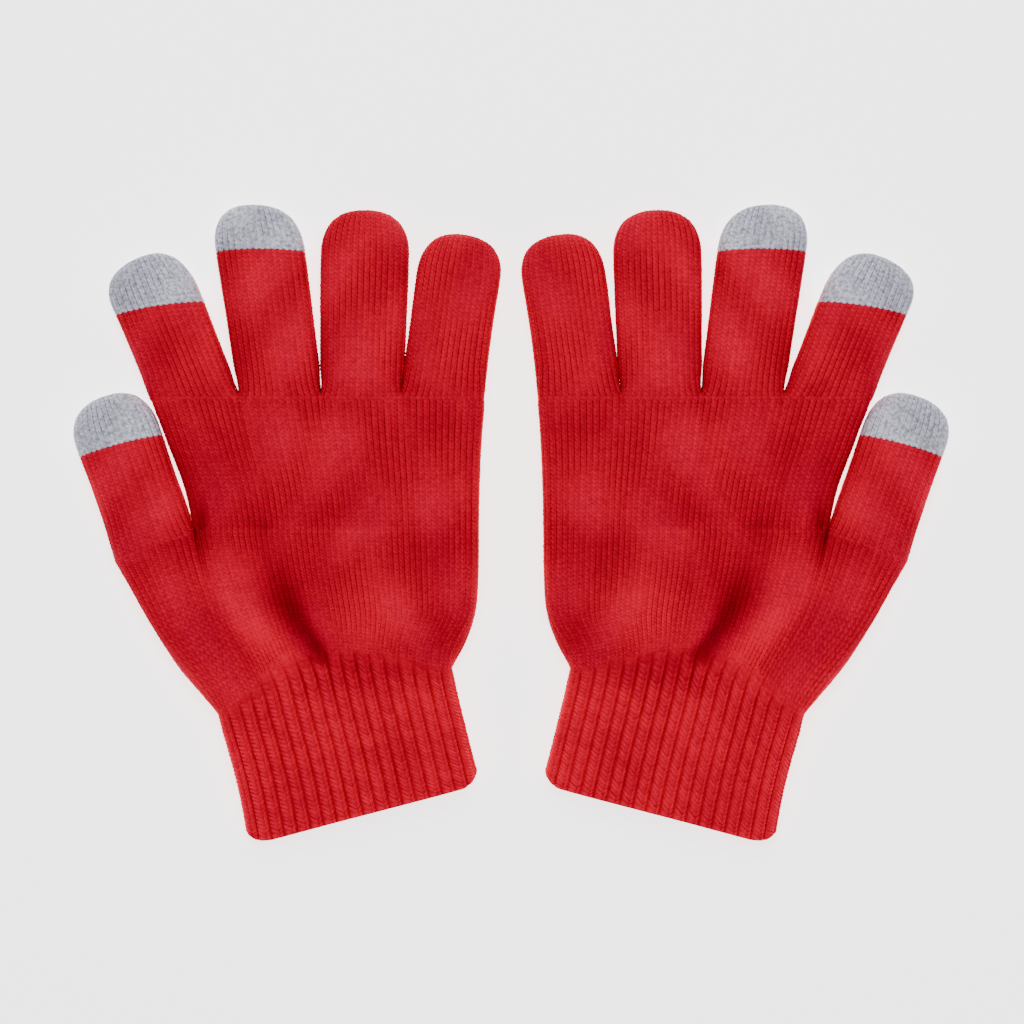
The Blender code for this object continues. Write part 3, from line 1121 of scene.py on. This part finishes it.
class GLOVES_OT_cuffs(bpy.types.Operator):
    """Build the ribbed cuffs, their edges and the elastic inside"""

    bl_idname = "gloves.cuffs"
    bl_label = "Cuffs"

    def execute(self, context):
        for side_name, side in SIDES.items():
            cuff = Cuff(Shell(), CUFF_RIBS)
            seed = 90 + int(side)
            body = f"{side_name}_palm"
            rest = (2, cuff.courses + 1)
            ribs = rib_tube(f"{side_name}_ribbed_cuff_knit", cuff, side, rest, red_yarn(), seed)
            edge = rib_tube(f"{side_name}_cuff_edge_knit", cuff, side, (0, 2), red_yarn(), seed)
            elastic = elastic_ring(f"{side_name}_cuff_elastic_cord", cuff, side)
            names = ("ribbed_cuff", "cuff_edge", "cuff_elastic")
            slots = ("red_yarn", "red_yarn", "covered_elastic")
            for piece, name, slot in zip((ribs, edge, elastic), names, slots):
                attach(piece, body)
                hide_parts(f"{side_name}_{name}")
        return {"FINISHED"}


def elastic_ring(name, cuff, side):
    """A thin elastic ring laid inside the cuff below the wrist."""
    s = settings()
    radius = 0.6 * MM
    depth = s.wall + 1.9 * MM
    q = np.linspace(0, 2 * cuff.wales, 145)
    turn = np.linspace(0, 2 * math.pi, 11)
    grid_q, angle = np.meshgrid(q, turn)
    v = np.full_like(grid_q, cuff.courses * 0.66)
    out = normals(cuff, grid_q, v)
    along = np.array((math.sin(CUFF_LEAN), math.cos(CUFF_LEAN), 0.0))
    twist = 1 + 0.06 * np.sin(angle * 3 + grid_q * 6)
    reach = (radius * twist)[..., None]
    points = cuff(grid_q, v, depth) + out * np.cos(angle)[..., None] * reach
    points = points + along * np.sin(angle)[..., None] * reach
    flat = np.zeros(points.shape[:2])
    material = bpy.data.materials.get("elastic_cover") or plain_material(
        "elastic_cover", s.elastic, 0.7, 2500.0
    )
    return mesh_object(name, points, flat, flat, flat, side, material)


class GLOVES_OT_stage(bpy.types.Operator):
    """Build the floor, the lights and the camera"""

    bl_idname = "gloves.stage"
    bl_label = "Stage"

    def execute(self, context):
        scene = context.scene
        bm = bmesh.new()
        bmesh.ops.create_grid(bm, x_segments=1, y_segments=1, size=3.0)
        mesh = bpy.data.meshes.new("floor")
        bm.to_mesh(mesh)
        bm.free()
        mesh.transform(Matrix.Translation((0, 0, -0.9 * MM)))
        pale = plain_material("floor", settings().floor, 0.9, 60.0)
        shader = pale.node_tree.nodes["Principled BSDF"]
        shader.inputs["Emission Color"].default_value = (1, 1, 1, 1)
        shader.inputs["Emission Strength"].default_value = 2.8
        mesh.materials.append(pale)
        floor = bpy.data.objects.new("floor", mesh)
        scene.collection.objects.link(floor)
        world = bpy.data.worlds.new("studio")
        scene.world = world
        world.use_nodes = True
        background = world.node_tree.nodes["Background"]
        background.inputs["Color"].default_value = (1, 1, 1, 1)
        background.inputs["Strength"].default_value = 0.2
        area_light("key", (0.0, 0.35, 1.1), 0.45, 9.4)
        area_light("fill", (0.0, -0.5, 1.4), 1.2, 2.0)
        aim = Vector((0.0003, 0.0026, 0.010))
        camera = bpy.data.cameras.new("camera")
        camera.sensor_width = 36.0
        distance = 1.3
        width_seen = 0.3512
        camera.lens = camera.sensor_width * distance / width_seen
        view = bpy.data.objects.new("camera", camera)
        view.location = aim + Vector((0, 0, distance))
        scene.collection.objects.link(view)
        scene.camera = view
        return {"FINISHED"}


def area_light(name, place, size, power):
    """A soft square light that points at the gloves."""
    light = bpy.data.lights.new(name, "AREA")
    light.size = size
    light.energy = power
    lamp = bpy.data.objects.new(name, light)
    lamp.location = place
    lamp.rotation_euler = (-Vector(place)).to_track_quat("-Z", "Y").to_euler()
    bpy.context.scene.collection.objects.link(lamp)


class GLOVES_PT_panel(bpy.types.Panel):
    """Sizes, colours and building steps of the pair"""

    bl_label = "Touchscreen Gloves"
    bl_idname = "GLOVES_PT_panel"
    bl_space_type = "VIEW_3D"
    bl_region_type = "UI"
    bl_category = "Gloves"

    def draw(self, context):
        for name in settings().bl_rna.properties.keys():
            if name not in ("rna_type", "name"):
                self.layout.prop(settings(), name)
        for operator in OPERATORS:
            self.layout.operator(operator.bl_idname)


OPERATORS = (GLOVES_OT_palms, GLOVES_OT_digits, GLOVES_OT_cuffs, GLOVES_OT_stage)
CLASSES = (TouchscreenGlovesSettings, *OPERATORS, GLOVES_PT_panel)


def register():
    for cls in CLASSES:
        bpy.utils.register_class(cls)
    bpy.types.Scene.touchscreen_gloves = bpy.props.PointerProperty(type=TouchscreenGlovesSettings)


def unregister():
    del bpy.types.Scene.touchscreen_gloves
    for cls in reversed(CLASSES):
        bpy.utils.unregister_class(cls)


def main():
    register()
    bpy.ops.gloves.palms()
    bpy.ops.gloves.digits()
    bpy.ops.gloves.cuffs()
    bpy.ops.gloves.stage()
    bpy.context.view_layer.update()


if __name__ == "__main__":
    main()
